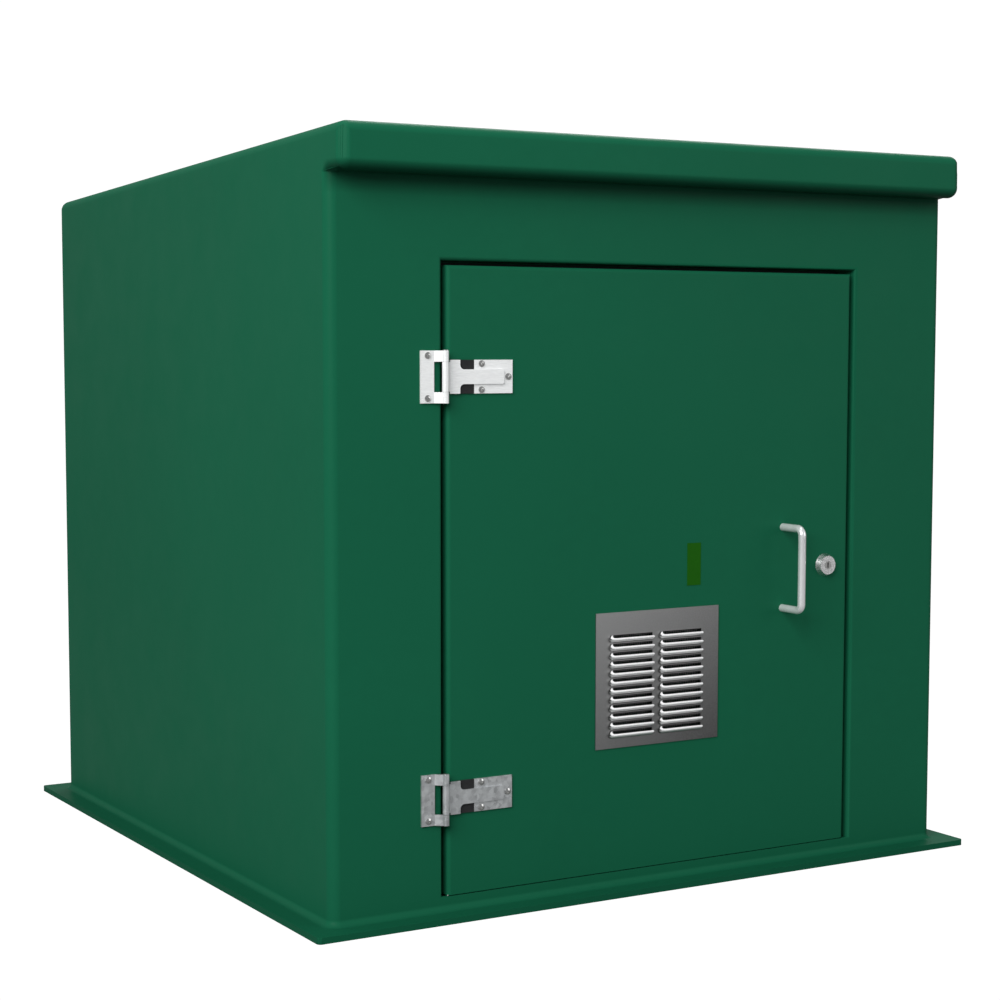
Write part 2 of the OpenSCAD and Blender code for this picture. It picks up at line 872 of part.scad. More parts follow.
module pull_handle() color(chromed)
    difference() {
        union() {
            handle_feet()
                rod_y(0, bend_r - bar_v, 0, bar_d / 2, bar_v - bend_r);
            translate([handle_x, front - bar_v, handle_z + bend_r - handle_centres / 2])
                cylinder(r = bar_d / 2, h = handle_centres - 2 * bend_r);
            for (sz = [-1, 1])
                translate([handle_x, front + bend_r - bar_v, handle_z + sz * (handle_centres / 2 - bend_r)])
                    rotate([0, 90, 0])
                        rotate([0, 0, sz > 0 ? 180 : 270])
                            rotate_extrude(angle = 90)
                                translate([bend_r, 0])
                                    circle(bar_d / 2);
        }
        handle_feet()
            rod_y(0, -handle_screw_in, 0, handle_screw_r + hole_clear / 2, handle_screw_in + eps);
    }

module handle_washers() color(steel)
    handle_feet()
        difference() {
            rod_y(0, skin_t, 0, washer_r, washer_t);
            rod_y(0, skin_t - eps, 0, handle_screw_r + hole_clear, washer_t + 2 * eps);
        }

module handle_screws() color(steel)
    handle_feet() {
        rod_y(0, 1 - handle_screw_in, 0, handle_screw_r, handle_screw_in + skin_t + washer_t);
        translate([0, skin_t + washer_t, 0])
            rotate([-90, 0, 0])
                cylinder(r = nut_r, h = nut_t, $fn = 6);
    }

// ---------------------------------------------------------------- lock

module lock_body() color(chromed)
    difference() {
        union() {
            translate([lock_x, front, lock_z])
                rotate([90, 0, 0])
                    cylinder(r1 = rim_d / 2, r2 = face_d / 2, h = face_out);
            rod_y(lock_x, front - eps, lock_z, barrel_d / 2, barrel_end - front + eps);
        }
        rod_y(lock_x, front - face_out - eps, lock_z, plug_d / 2 + plug_clear,
            barrel_end - front + face_out + 2 * eps);
    }

module lock_nut() color(steel)
    nut_y(lock_x, front + skin_t, lock_z, barrel_nut_r, barrel_nut_t, barrel_d / 2 + hole_clear / 2);

module lock_plug() color(grey_steel)
    difference() {
        union() {
            rod_y(lock_x, front - face_out, lock_z, plug_d / 2, cam_y - front + face_out);
            rod_y(lock_x, cam_y - eps, lock_z, spigot_r, cam_t + eps);
        }
        translate([lock_x - keyway_w / 2, front - face_out - eps, lock_z - keyway_h / 2])
            cube([keyway_w, keyway_d + eps, keyway_h]);
        rod_y(lock_x, cam_y + cam_t - cam_screw_in, lock_z, cam_screw_r + hole_clear / 2, cam_screw_in + eps);
    }

// The cam hangs straight down when the lock is open
module lock_cam() color(steel)
    translate([lock_x, cam_y, lock_z])
        rotate([-90, 0, 0])
            linear_extrude(cam_t)
                difference() {
                    union() {
                        circle(cam_w / 2);
                        translate([-cam_w / 2, 0])
                            square([cam_w, cam_l - cam_w / 2]);
                        translate([0, cam_l - cam_w / 2])
                            circle(cam_w / 2);
                    }
                    circle(spigot_r + hole_clear / 2);
                }

module cam_screw() color(steel) {
    rod_y(lock_x, cam_y + cam_t - cam_screw_in + eps, lock_z, cam_screw_r, cam_screw_in);
    rod_y(lock_x, cam_y + cam_t, lock_z, cam_screw_head_r, cam_screw_head_h);
}

// A wear plate on the back of the door stop, behind which the cam turns
module lock_keeper() color(steel)
    difference() {
        translate([keeper_x0, stop_back, lock_z - keeper_h / 2])
            cube([keeper_w, keeper_t, keeper_h]);
        for (dz = [-keeper_rivet_dz, keeper_rivet_dz])
            rod_y(keeper_rivet_x, stop_back - eps, lock_z + dz, rivet_r + hole_clear, keeper_t + 2 * eps);
    }

module keeper_rivets() color(steel)
    for (dz = [-keeper_rivet_dz, keeper_rivet_dz]) {
        rod_y(keeper_rivet_x, front + stop_depth - rivet_head_h, lock_z + dz, rivet_head_r, rivet_head_h);
        rod_y(keeper_rivet_x, front + stop_depth - rivet_head_h / 2, lock_z + dz, rivet_r,
            wall_t + keeper_t + rivet_head_h);
        rod_y(keeper_rivet_x, stop_back + keeper_t, lock_z + dz, rivet_r * 1.5, rivet_head_h);
    }

module label_plate() color([0.08, 0.34, 0.0])
    translate([label_x - label_w / 2, front - label_t, label_z - label_h / 2])
        cube([label_w, label_t, label_h]);

body_shell();
door_seal();
equipment_board();
board_battens();
board_screws();
frame_leaf(hinge_high_z);  // upper_hinge_frame_leaf
frame_leaf(hinge_low_z);  // lower_hinge_frame_leaf
hinge_pin(hinge_high_z);  // upper_hinge_pin
hinge_pin(hinge_low_z);  // lower_hinge_pin
frame_hinge_screws();
frame_hinge_nuts();
lock_keeper();
keeper_rivets();
door_panel();
door_leaf(hinge_high_z);  // upper_hinge_door_leaf
door_leaf(hinge_low_z);  // lower_hinge_door_leaf
clamp_plate(hinge_high_z);  // upper_hinge_clamp_plate
clamp_plate(hinge_low_z);  // lower_hinge_clamp_plate
hinge_pad(hinge_high_z);  // upper_hinge_pad
hinge_pad(hinge_low_z);  // lower_hinge_pad
door_hinge_screws();
door_hinge_nuts();
louvre_plate();
insect_mesh();
mesh_retainer();
mesh_nuts();
pull_handle();
handle_screws();
handle_washers();
lock_body();
lock_nut();
label_plate();
lock_plug();
lock_cam();
cam_screw();
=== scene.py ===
"""The looks of a roadside utility cabinet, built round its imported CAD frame.

Metres throughout, in the CAD's own frame: +Z up, the door facing -Y.
"""

import math

import bmesh
import bpy
from mathutils import Matrix, Vector


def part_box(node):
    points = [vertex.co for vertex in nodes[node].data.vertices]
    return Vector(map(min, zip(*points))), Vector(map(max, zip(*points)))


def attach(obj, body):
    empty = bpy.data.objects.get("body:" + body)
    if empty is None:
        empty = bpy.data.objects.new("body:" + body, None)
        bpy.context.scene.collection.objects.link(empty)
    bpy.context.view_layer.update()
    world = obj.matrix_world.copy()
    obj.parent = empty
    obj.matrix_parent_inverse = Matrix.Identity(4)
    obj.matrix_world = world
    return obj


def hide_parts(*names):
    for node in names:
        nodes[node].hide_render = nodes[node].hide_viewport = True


MM = 0.001

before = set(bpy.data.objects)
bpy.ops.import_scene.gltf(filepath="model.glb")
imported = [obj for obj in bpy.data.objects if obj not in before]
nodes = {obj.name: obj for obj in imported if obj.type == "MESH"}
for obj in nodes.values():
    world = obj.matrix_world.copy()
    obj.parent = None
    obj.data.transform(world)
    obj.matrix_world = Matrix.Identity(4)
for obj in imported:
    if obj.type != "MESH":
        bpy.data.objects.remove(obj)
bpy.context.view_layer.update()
door_low, door_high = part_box("door_panel")
FACE_Y = door_low.y  # the door's skin lies in the plane of the front face

# ---------------------------------------------------------------- camera

CAMERA_AT = (-1.6536, -2.8528, 0.7422)
AZIMUTH = -29.864
ELEVATION = 4.900
ROLL = -0.0113
LENS = 75.41
SHIFT = (0.0302, 0.0305)


def make_camera():
    azimuth, elevation, roll = (math.radians(a) for a in (AZIMUTH, ELEVATION, ROLL))
    back = Vector((
        math.sin(azimuth) * math.cos(elevation),
        -math.cos(azimuth) * math.cos(elevation),
        math.sin(elevation),
    ))
    level = Vector((0, 0, 1)).cross(back).normalized()
    up = back.cross(level)
    right = level * math.cos(roll) + up * math.sin(roll)
    turned = Matrix((right, back.cross(right), back)).transposed()
    data = bpy.data.cameras.new("camera")
    data.sensor_width = 36
    data.lens = LENS
    data.shift_x, data.shift_y = SHIFT
    data.clip_start, data.clip_end = 0.05, 100
    camera = bpy.data.objects.new("camera", data)
    camera.matrix_world = Matrix.Translation(CAMERA_AT) @ turned.to_4x4()
    bpy.context.scene.collection.objects.link(camera)
    bpy.context.scene.camera = camera


# ---------------------------------------------------------------- studio

ROOM_COLOUR = (0.96, 0.98, 1.0, 1)
ROOM_LIGHT = 0.35
BACKDROP_LIGHT = 1.05  # what the camera sees, just past white
FLOOR_SIZE = 28.0
FLOOR_BOUNCE = 0.25
LIGHTS_AIM = (0, 0, 0.5)
LIGHTS = [  # name, place, side of the square, watts
    ("key", (-3.5, -2.7, 2.9), 3.0, 225),
    ("fill", (3.2, -3.8, 1.6), 2.6, 30),
    ("top", (0, 0, 5.0), 4.0, 75),
    ("rear", (2.8, 2.6, 4.4), 2.6, 110),
]


def make_world():
    """An even pale room, which the camera sees as white."""
    world = bpy.data.worlds.new("studio")
    world.use_nodes = True
    tree = world.node_tree
    tree.nodes.clear()
    output = tree.nodes.new("ShaderNodeOutputWorld")
    mix = tree.nodes.new("ShaderNodeMixShader")
    path = tree.nodes.new("ShaderNodeLightPath")
    room = tree.nodes.new("ShaderNodeBackground")
    room.inputs["Color"].default_value = ROOM_COLOUR
    room.inputs["Strength"].default_value = ROOM_LIGHT
    backdrop = tree.nodes.new("ShaderNodeBackground")
    backdrop.inputs["Color"].default_value = (1, 1, 1, 1)
    backdrop.inputs["Strength"].default_value = BACKDROP_LIGHT
    tree.links.new(path.outputs["Is Camera Ray"], mix.inputs["Fac"])
    tree.links.new(room.outputs[0], mix.inputs[1])
    tree.links.new(backdrop.outputs[0], mix.inputs[2])
    tree.links.new(mix.outputs[0], output.inputs["Surface"])
    bpy.context.scene.world = world


def area_light(name, place, size, power):
    """A square soft light at a place, turned towards the middle of the cabinet."""
    data = bpy.data.lights.new(name, "AREA")
    data.shape = "RECTANGLE"
    data.size, data.size_y = size, size
    data.energy = power
    light = bpy.data.objects.new(name, data)
    direction = Vector(LIGHTS_AIM) - Vector(place)
    light.location = place
    light.rotation_mode = "QUATERNION"
    light.rotation_quaternion = direction.to_track_quat("-Z", "Y")
    bpy.context.scene.collection.objects.link(light)


def make_studio():
    bpy.context.scene.view_settings.view_transform = "Standard"
    make_world()
    for name, place, size, power in LIGHTS:
        area_light(name, place, size, power)
    half = FLOOR_SIZE / 2
    corners = [(-half, -half, 0), (half, -half, 0), (half, half, 0), (-half, half, 0)]
    floor = mesh_object("floor", corners, [(0, 1, 2, 3)])
    floor.data.materials.append(floor_material())


# ---------------------------------------------------------------- meshes

def mesh_object(name, points, faces, smooth=False):
    mesh = bpy.data.meshes.new(name)
    mesh.from_pydata([tuple(p) for p in points], [], faces)
    mesh.validate()
    mesh.update()
    for polygon in mesh.polygons:
        polygon.use_smooth = smooth
    piece = bpy.data.objects.new(name, mesh)
    bpy.context.scene.collection.objects.link(piece)
    return piece


def paint(piece, material):
    piece.data.materials.clear()
    piece.data.materials.append(material)
    return piece


# ---------------------------------------------------------------- materials

class Shader:
    """A Principled material with short ways to add procedural detail in metres."""

    def __init__(self, name, colour, metallic=0.0, roughness=0.5, specular=0.5):
        self.material = bpy.data.materials.new(name)
        self.material.use_nodes = True
        self.tree = self.material.node_tree
        self.shader = self.tree.nodes["Principled BSDF"]
        self.shader.inputs["Base Color"].default_value = (*colour, 1)
        self.shader.inputs["Metallic"].default_value = metallic
        self.shader.inputs["Roughness"].default_value = roughness
        self.shader.inputs["Specular IOR Level"].default_value = specular
        self.place = self.tree.nodes.new("ShaderNodeTexCoord").outputs["Object"]

    def node(self, kind, **values):
        made = self.tree.nodes.new(kind)
        for key, value in values.items():
            setattr(made, key, value)
        return made

    def link(self, source, target):
        self.tree.links.new(source, target)

    def stretched(self, scale):
        mapping = self.node("ShaderNodeMapping")
        mapping.inputs["Scale"].default_value = scale
        self.link(self.place, mapping.inputs["Vector"])
        return mapping.outputs["Vector"]

    def noise(self, scale, detail=3.0, rough=0.5, stretch=None):
        """Cloudy noise from 0 to 1, stretched along an axis where its scale is below 1."""
        made = self.node("ShaderNodeTexNoise")
        made.inputs["Scale"].default_value = scale
        made.inputs["Detail"].default_value = detail
        made.inputs["Roughness"].default_value = rough
        self.link(self.stretched(stretch) if stretch else self.place, made.inputs["Vector"])
        return made.outputs["Fac"]

    def cells(self, scale):
        """A random colour for each cell."""
        made = self.node("ShaderNodeTexVoronoi")
        made.inputs["Scale"].default_value = scale
        self.link(self.place, made.inputs["Vector"])
        return made.outputs["Color"]

    def level(self, source, low, high, to_low, to_high):
        """source from low..high to to_low..to_high, held at the ends."""
        made = self.node("ShaderNodeMapRange")
        for key, value in zip(("From Min", "From Max", "To Min", "To Max"), (low, high, to_low, to_high)):
            made.inputs[key].default_value = value
        self.link(source, made.inputs["Value"])
        return made.outputs["Result"]

    def maths(self, operation, a, b):
        made = self.node("ShaderNodeMath", operation=operation)
        for socket, value in zip(made.inputs, (a, b)):
            if isinstance(value, (int, float)):
                socket.default_value = value
            else:
                self.link(value, socket)
        return made.outputs[0]

    def axis(self, letter):
        made = self.node("ShaderNodeSeparateXYZ")
        self.link(self.place, made.inputs[0])
        return made.outputs[letter]

    def tint(self, factor, colour_a, colour_b):
        """A colour between two, each a triple or a socket."""
        made = self.node("ShaderNodeMix", data_type="RGBA")
        self.link(factor, made.inputs["Factor"])
        for socket, colour in zip((made.inputs[6], made.inputs[7]), (colour_a, colour_b)):
            if isinstance(colour, tuple):
                socket.default_value = (*colour, 1)
            else:
                self.link(colour, socket)
        return made.outputs[2]

    def colour(self, socket):
        self.link(socket, self.shader.inputs["Base Color"])

    def roughness(self, socket):
        self.link(socket, self.shader.inputs["Roughness"])

    def bumps(self, *layers):
        """Each layer is a height socket and its depth in metres, the last one on top."""
        normal = None
        for height, depth in layers:
            made = self.node("ShaderNodeBump")
            made.inputs["Strength"].default_value = 1.0
            made.inputs["Distance"].default_value = depth
            self.link(height, made.inputs["Height"])
            if normal:
                self.link(normal, made.inputs["Normal"])
            normal = made.outputs["Normal"]
        self.link(normal, self.shader.inputs["Normal"])


def shaded(colour, factor):
    return tuple(min(1.0, c * factor) for c in colour)


GREEN = (0.0070, 0.1060, 0.0520)
CREASE_DEPTH = 26 * MM  # how far the painted shade reaches below the lip
CREASE_PAINTED_SHADE = 0.62
FOOT_TOP = 15 * MM  # how far the painted shade reaches up from the flange
FOOT_PAINTED_SHADE = 0.22


def gelcoat(name, crease_shaded=False):
    """Satin gelcoat: even colour with faint clouds, an orange-peel skin and slow waves of the mould.

    A crease-shaded one, the body's, has painted shade under its lip and where its flange meets the walls.
    """
    s = Shader(name, GREEN, roughness=0.45, specular=0.04)
    clouds = s.level(s.noise(2.2, 4), 0.35, 0.65, 0, 1)
    mottle = s.level(s.noise(60, 2), 0.3, 0.7, 0, 1)
    body = s.tint(clouds, shaded(GREEN, 0.96), shaded(GREEN, 1.04))
    skin = s.tint(mottle, body, shaded(GREEN, 1.0))
    if crease_shaded:
        # Painted shade: the colour darkens towards near black just under the lip, near the front face, where
        # the lip shades the wall.
        low = s.level(s.axis("Z"), LIP_Z - CREASE_DEPTH, LIP_Z - 1 * MM, 0.0, CREASE_PAINTED_SHADE)
        above = s.level(s.axis("Z"), LIP_Z + 3 * MM, LIP_Z + 15 * MM, 1.0, 0.0)
        ahead = s.level(s.axis("Y"), FACE_Y + 1 * MM, FACE_Y + 12 * MM, 1.0, 0.0)
        lip = s.maths("MULTIPLY", s.maths("MULTIPLY", low, above), ahead)
        # Painted shade: darker at the foot of the walls, just above the flange, where the corner lies in
        # shade.
        foot = s.level(s.axis("Z"), 9 * MM, FOOT_TOP, FOOT_PAINTED_SHADE, 0.0)
        skin = s.tint(s.maths("ADD", lip, foot), skin, shaded(GREEN, 0.06))
    s.colour(skin)
    s.roughness(s.level(s.noise(14, 3), 0.3, 0.7, 0.38, 0.48))
    s.bumps((s.noise(3.0, 1), 1.2 * MM), (s.noise(260, 2), 0.04 * MM))
    return s.material


def bright_steel(name):
    """Pale satin steel with a fine linished grain."""
    s = Shader(name, (0.86, 0.87, 0.87), metallic=0.2, roughness=0.34)
    grain = s.noise(900, 2, stretch=(0.12, 1, 1))
    s.colour(s.tint(s.level(grain, 0.3, 0.7, 0, 1), (0.82, 0.83, 0.83), (0.92, 0.93, 0.93)))
    s.roughness(s.level(s.noise(120, 2), 0.3, 0.7, 0.28, 0.42))
    s.bumps((grain, 0.01 * MM))
    return s.material


def galvanised_steel(name):
    """Zinc spangle: grey flakes with dull and bright patches."""
    s = Shader(name, (0.5, 0.52, 0.53), metallic=0.75, roughness=0.4)
    cloud = s.level(s.noise(70, 3), 0.35, 0.65, 0, 1)
    flake = s.tint(s.cells(190), (0.34, 0.35, 0.36), (0.66, 0.68, 0.69))
    s.colour(s.tint(s.maths("MULTIPLY", cloud, 0.5), flake, (0.74, 0.76, 0.77)))
    s.roughness(s.level(s.noise(150, 2), 0.3, 0.7, 0.32, 0.55))
    s.bumps((s.noise(240, 3), 0.06 * MM))
    return s.material


def plated(name, colour, roughness, grain_scale=500, metallic=1.0):
    """Plated or plain metal with a faint uneven sheen."""
    s = Shader(name, colour, metallic=metallic, roughness=roughness)
    haze = s.level(s.noise(90, 3), 0.3, 0.7, 0, 1)
    s.colour(s.tint(haze, shaded(colour, 0.92), colour))
    s.roughness(s.level(s.noise(grain_scale, 2), 0.3, 0.7, roughness * 0.85, roughness * 1.2))
    s.bumps((s.noise(grain_scale, 2), 0.008 * MM))
    return s.material


def rubber(name):
    """Matt black rubber with a fine grain."""
    s = Shader(name, (0.012, 0.012, 0.013), roughness=0.75, specular=0.3)
    s.colour(s.tint(s.noise(160, 3), (0.008, 0.008, 0.009), (0.024, 0.024, 0.025)))
    s.bumps((s.noise(420, 2), 0.08 * MM))
    return s.material


def timber(name, light, dark, grain):
    """Long grain up the board with fine pores."""
    s = Shader(name, light, roughness=0.6, specular=0.3)
    warp = s.noise(5, 3, stretch=(3, 1, 0.4))
    rings = s.level(s.noise(grain, 4, 0.6, stretch=(6, 6, 0.25)), 0.35, 0.65, 0, 1)
    pores = s.level(s.noise(900, 2, stretch=(1, 1, 0.06)), 0.45, 0.7, 0, 1)
    base = s.tint(rings, light, dark)
    tone = s.tint(s.level(warp, 0.3, 0.7, 0, 0.4), base, shaded(light, 0.8))
    s.colour(s.tint(s.maths("MULTIPLY", pores, 0.35), tone, shaded(dark, 0.5)))
    s.bumps((s.noise(700, 2, stretch=(1, 1, 0.05)), 0.08 * MM))
    return s.material


def louvre_metal(name):
    """Satin grey pressed sheet, fine-grained, with painted light that makes it paler at its top left and
    darker at its bottom right, and a painted highlight that turns the hoods' crests near white.
    """
    s = Shader(name, (0.2, 0.2, 0.2), metallic=1.0, roughness=0.42)
    low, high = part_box("louvre_plate")
    # Painted light: the sheet's colour runs from dark at its bottom right to pale at its top left.
    across = s.level(s.axis("X"), low.x, high.x, 0.5, 0.0)
    up = s.level(s.axis("Z"), low.z, high.z, 0.0, 0.5)
    slope = s.maths("ADD", across, up)
    plain = s.tint(slope, (0.10, 0.10, 0.10), (0.40, 0.40, 0.40))
    grain = s.level(s.noise(1500, 1, stretch=(1, 1, 0.5)), 0.35, 0.65, 0, 1)
    sheet = s.tint(s.maths("MULTIPLY", grain, 0.16), plain, (0.55, 0.55, 0.55))
    # Painted highlight: the hood turns near white towards its crest, where it stands furthest out.
    crest = s.level(s.axis("Y"), FACE_Y - HOOD_OUT, FACE_Y - CREST_FOOT, 1.0, 0.0)
    s.colour(s.tint(crest, sheet, (0.92, 0.92, 0.92)))
    s.roughness(s.level(crest, 0, 1, 0.42, 0.3))
    s.bumps((s.noise(1500, 1, stretch=(1, 1, 0.5)), 0.01 * MM))
    return s.material


def rim_highlight_metal(name):
    """The rolled rims of the louvres, with a painted highlight: a near-white colour in place of the light
    they catch.
    """
    s = Shader(name, (0.93, 0.93, 0.93), metallic=0.0, roughness=0.35, specular=0.6)
    highlight_mottle = s.level(s.noise(400, 2), 0.35, 0.65, 0, 1)
    # Painted highlight: near white, a little uneven.
    s.colour(s.tint(highlight_mottle, (0.86, 0.86, 0.86), (0.96, 0.96, 0.96)))
    s.bumps((s.noise(600, 1), 0.01 * MM))
    return s.material


def label_film(name):
    """A plain green film with nothing on it."""
    s = Shader(name, (0.008, 0.094, 0.0), roughness=0.55, specular=0.1)
    s.colour(s.tint(s.noise(60, 2), (0.0075, 0.088, 0.0), (0.0085, 0.100, 0.0)))
    s.bumps((s.noise(300, 2), 0.02 * MM))
    return s.material


def floor_material():
    """A floor that throws back a little light, and that the camera sees as the white backdrop."""
    s = Shader("floor", (FLOOR_BOUNCE, FLOOR_BOUNCE, FLOOR_BOUNCE), roughness=0.9, specular=0.0)
    seen = s.node("ShaderNodeLightPath").outputs["Is Camera Ray"]
    clear = s.node("ShaderNodeBsdfTransparent")
    mix = s.node("ShaderNodeMixShader")
    s.link(seen, mix.inputs["Fac"])
    s.link(s.shader.outputs[0], mix.inputs[1])
    s.link(clear.outputs[0], mix.inputs[2])
    s.link(mix.outputs[0], s.tree.nodes["Material Output"].inputs["Surface"])
    return s.material


# ---------------------------------------------------------------- insect mesh

MESH_PITCH = 3.0 * MM
WIRE_R = 0.2 * MM


def woven_mesh():
    """Two layers of wires that pass over and under each other, filling the CAD sheet."""
    low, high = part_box("insect_mesh")
    middle_y = (low.y + high.y) / 2
    sides = 4
    pitch, wire_r = MESH_PITCH, WIRE_R
    points, faces = [], []

    def add_wire(line, side_axis):
        first = len(points)
        for p in line:
            for k in range(sides):
                turn = 2 * math.pi * (k + 0.5) / sides
                offset = side_axis * (wire_r * math.cos(turn)) + Vector((0, wire_r * math.sin(turn), 0))
                points.append(p + offset)
        rings = len(line)
        for i in range(rings - 1):
            for k in range(sides):
                a = first + i * sides + k
                b = first + i * sides + (k + 1) % sides
                faces.append((a, b, b + sides, a + sides))
        faces.append(tuple(first + k for k in reversed(range(sides))))
        faces.append(tuple(first + (rings - 1) * sides + k for k in range(sides)))

    columns = int((high.x - low.x - 2 * wire_r) / pitch)
    rows = int((high.z - low.z - 2 * wire_r) / pitch)
    x0 = (low.x + high.x - columns * pitch) / 2
    z0 = (low.z + high.z - rows * pitch) / 2
    lift = wire_r * 0.98

    def crossing(i, j, over):
        weave = over if (i + j) % 2 else -over
        return Vector((x0 + i * pitch, middle_y + lift * weave, z0 + j * pitch))

    for i in range(columns + 1):
        add_wire([crossing(i, j, 1) for j in range(rows + 1)], Vector((1, 0, 0)))
    for j in range(rows + 1):
        add_wire([crossing(i, j, -1) for i in range(columns + 1)], Vector((0, 0, 1)))
    piece = mesh_object("woven_mesh", points, faces, smooth=True)
    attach(piece, "door")
    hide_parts("insect_mesh")
    return piece


# ---------------------------------------------------------------- body shell

CORNER_R = 14.5 * MM
LIP_Z = 964.0 * MM
ROOF_Z = 1025.0 * MM
ROOF_FALL = 38.5 * MM
LIP_OUT = 39.5 * MM
BODY_HALF = 504.0 * MM
BODY_DEPTH = 1005.0 * MM
LIP_FRONT = FACE_Y - LIP_OUT
BODY_BACK = FACE_Y + BODY_DEPTH
ROOF_SLOPE = math.atan2(ROOF_FALL, BODY_DEPTH + LIP_OUT)
FADE = 1.4 * CORNER_R  # over this depth the lip's underside loses its rounding, behind the front face
CUTS = 8  # cuts to a quarter turn, so that the flat faces there can be rounded
FIRST_CUT = 4.0 * MM  # ahead of the front face
CUT_STEP = 2.3 * MM
NEAR = 0.01 * MM


def rounded_corner(place):
    """Where a point of the shell goes when the lip's ends and the roof's corners are ball-rounded."""
    slope = ROOF_SLOPE
    roof = ROOF_Z - (place.y - LIP_FRONT) * math.tan(slope)
    side = 1.0 if place.x > 0 else -1.0
    across = abs(place.x) - (BODY_HALF - CORNER_R)
    if across <= 0:
        return place
    r = CORNER_R
    ahead = LIP_FRONT + r - place.y
    behind = place.y - (BODY_BACK - r)
    above = r - (roof - place.z) * math.cos(slope)
    below = LIP_Z + r - place.z
    out_y, sign_y = (ahead, -1.0) if ahead > 0 else (max(behind, 0.0), 1.0)
    if above > 0:
        length = math.sqrt(across ** 2 + out_y ** 2 + above ** 2)
        if length <= r:
            return place
        give = r / length - 1.0
        return place + Vector((
            side * across * give,
            sign_y * out_y * give + math.sin(slope) * above * give,
            math.cos(slope) * above * give,
        ))
    if 0 < below <= r + NEAR and place.y < FACE_Y + r:
        low_r = r * min(1.0, max(0.0, (FACE_Y + r - place.y) / FADE))
        across = abs(place.x) - (BODY_HALF - low_r)
        below = LIP_Z + low_r - place.z
        if across <= 0 or below <= 0:
            return place
        ahead = max(0.0, LIP_FRONT + low_r - place.y)
        length = math.sqrt(across ** 2 + ahead ** 2 + below ** 2)
        if length <= low_r or low_r < 10 * NEAR:
            return place
        give = low_r / length - 1.0
        return place + Vector((side * across * give, -ahead * give, -below * give))
    return place


def corner_cuts():
    """The planes that cut the shell finely where rounded_corner() bends it, as places and normals."""
    x_axis, y_axis, z_axis = Vector((1, 0, 0)), Vector((0, 1, 0)), Vector((0, 0, 1))
    cuts = []
    for k in range(CUTS + 1):
        step = CORNER_R * (1 - math.cos(math.pi / 2 * k / CUTS))
        cuts.append((-x_axis * (BODY_HALF - step), x_axis))
        cuts.append((x_axis * (BODY_HALF - step), x_axis))
        cuts.append((z_axis * (LIP_Z + step), z_axis))
        cuts.append((y_axis * (LIP_FRONT + step), y_axis))
        cuts.append((y_axis * (BODY_BACK - step), y_axis))
        cuts.append((y_axis * (FACE_Y - FIRST_CUT + k * CUT_STEP), y_axis))
    return cuts


def by_corner(face):
    corners = [v.co for v in face.verts]
    return max(abs(c.x) for c in corners) > BODY_HALF - CORNER_R and max(c.z for c in corners) > LIP_Z


def soft_shell():
    """A copy of the body shell whose lip ends and rear roof corners are rounded both ways."""
    mesh = nodes["body_shell"].data.copy()
    piece = bpy.data.objects.new("soft_shell", mesh)
    piece.matrix_world = nodes["body_shell"].matrix_world
    bpy.context.scene.collection.objects.link(piece)
    to_world = piece.matrix_world
    shell = bmesh.new()
    shell.from_mesh(mesh)
    shell.transform(to_world)
    bmesh.ops.remove_doubles(shell, verts=shell.verts, dist=NEAR / 5)
    for place, normal in corner_cuts():
        faces = [f for f in shell.faces if by_corner(f)]
        edges = {e for f in faces for e in f.edges}
        verts = {v for f in faces for v in f.verts}
        geometry = list(verts) + list(edges) + faces
        bmesh.ops.bisect_plane(shell, geom=geometry, dist=NEAR, plane_co=place, plane_no=normal)
    for v in shell.verts:
        if v.co.z >= LIP_Z - NEAR / 2:
            v.co = rounded_corner(v.co)
    shell.transform(to_world.inverted())
    shell.to_mesh(mesh)
    shell.free()
    if mesh.has_custom_normals:
        mesh.normals_split_custom_set([(0, 0, 0)] * len(mesh.loops))
    for polygon in mesh.polygons:
        polygon.use_smooth = True
    mesh.set_sharp_from_angle(angle=math.radians(30))
    weighted = piece.modifiers.new("weighted", "WEIGHTED_NORMAL")
    weighted.keep_sharp = True
    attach(piece, "cabinet")
    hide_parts("body_shell")
    return piece


# ---------------------------------------------------------------- louvre plate

LOUVRE_PITCH = 12.0 * MM
LOUVRE_ROWS = 12
LOUVRE_W = 75.0 * MM
LOUVRE_COL = 82.5 * MM
LOUVRE_X = -4.2 * MM
LOUVRE_Z = 285.0 * MM
PLATE_T = 1.5 * MM
HOOD_OUT = 5.2 * MM
HOOD_DROP = 0.95  # of how far it stands out
HOOD_SUNK = 0.3 * MM  # into the plate, so that no gap shows
CREST_FOOT = 3.4 * MM  # out from the face, where the painted highlight on the hood's crest begins
SLOT_LOW = -3.0 * MM
SLOT_HIGH = 5.4 * MM
SLOT_INSET = 2.5 * MM  # at each end of a hood
RIM_R = 1.75 * MM
RIM_BACK = 0.6 * MM  # how far the rim's middle stands behind the hood's crest
RIM_CURL = [  # in from the hood's left end, out from the plate, up from the hood's middle, radius
    (7.0 * MM, 0.0, 4.6 * MM, 0.5 * MM),
    (4.6 * MM, 1.6 * MM, 4.0 * MM, 1.3 * MM),
    (3.4 * MM, 3.0 * MM, 2.4 * MM, 2.1 * MM),
    (4.4 * MM, HOOD_OUT - RIM_BACK - 0.4 * MM, 0.8 * MM, 2.3 * MM),
    (7.2 * MM, HOOD_OUT - RIM_BACK, 0.0, 2.0 * MM),
    (12.0 * MM, HOOD_OUT - RIM_BACK, 0.0, RIM_R),
]
RIM_END = [
    (LOUVRE_W - 5.0 * MM, HOOD_OUT - RIM_BACK, 0.0, RIM_R),
    (LOUVRE_W - 2.6 * MM, HOOD_OUT - RIM_BACK - 0.8 * MM, 0.0, 1.5 * MM),
]


def row_z(row):
    return LOUVRE_Z + (row - (LOUVRE_ROWS - 1) / 2) * LOUVRE_PITCH


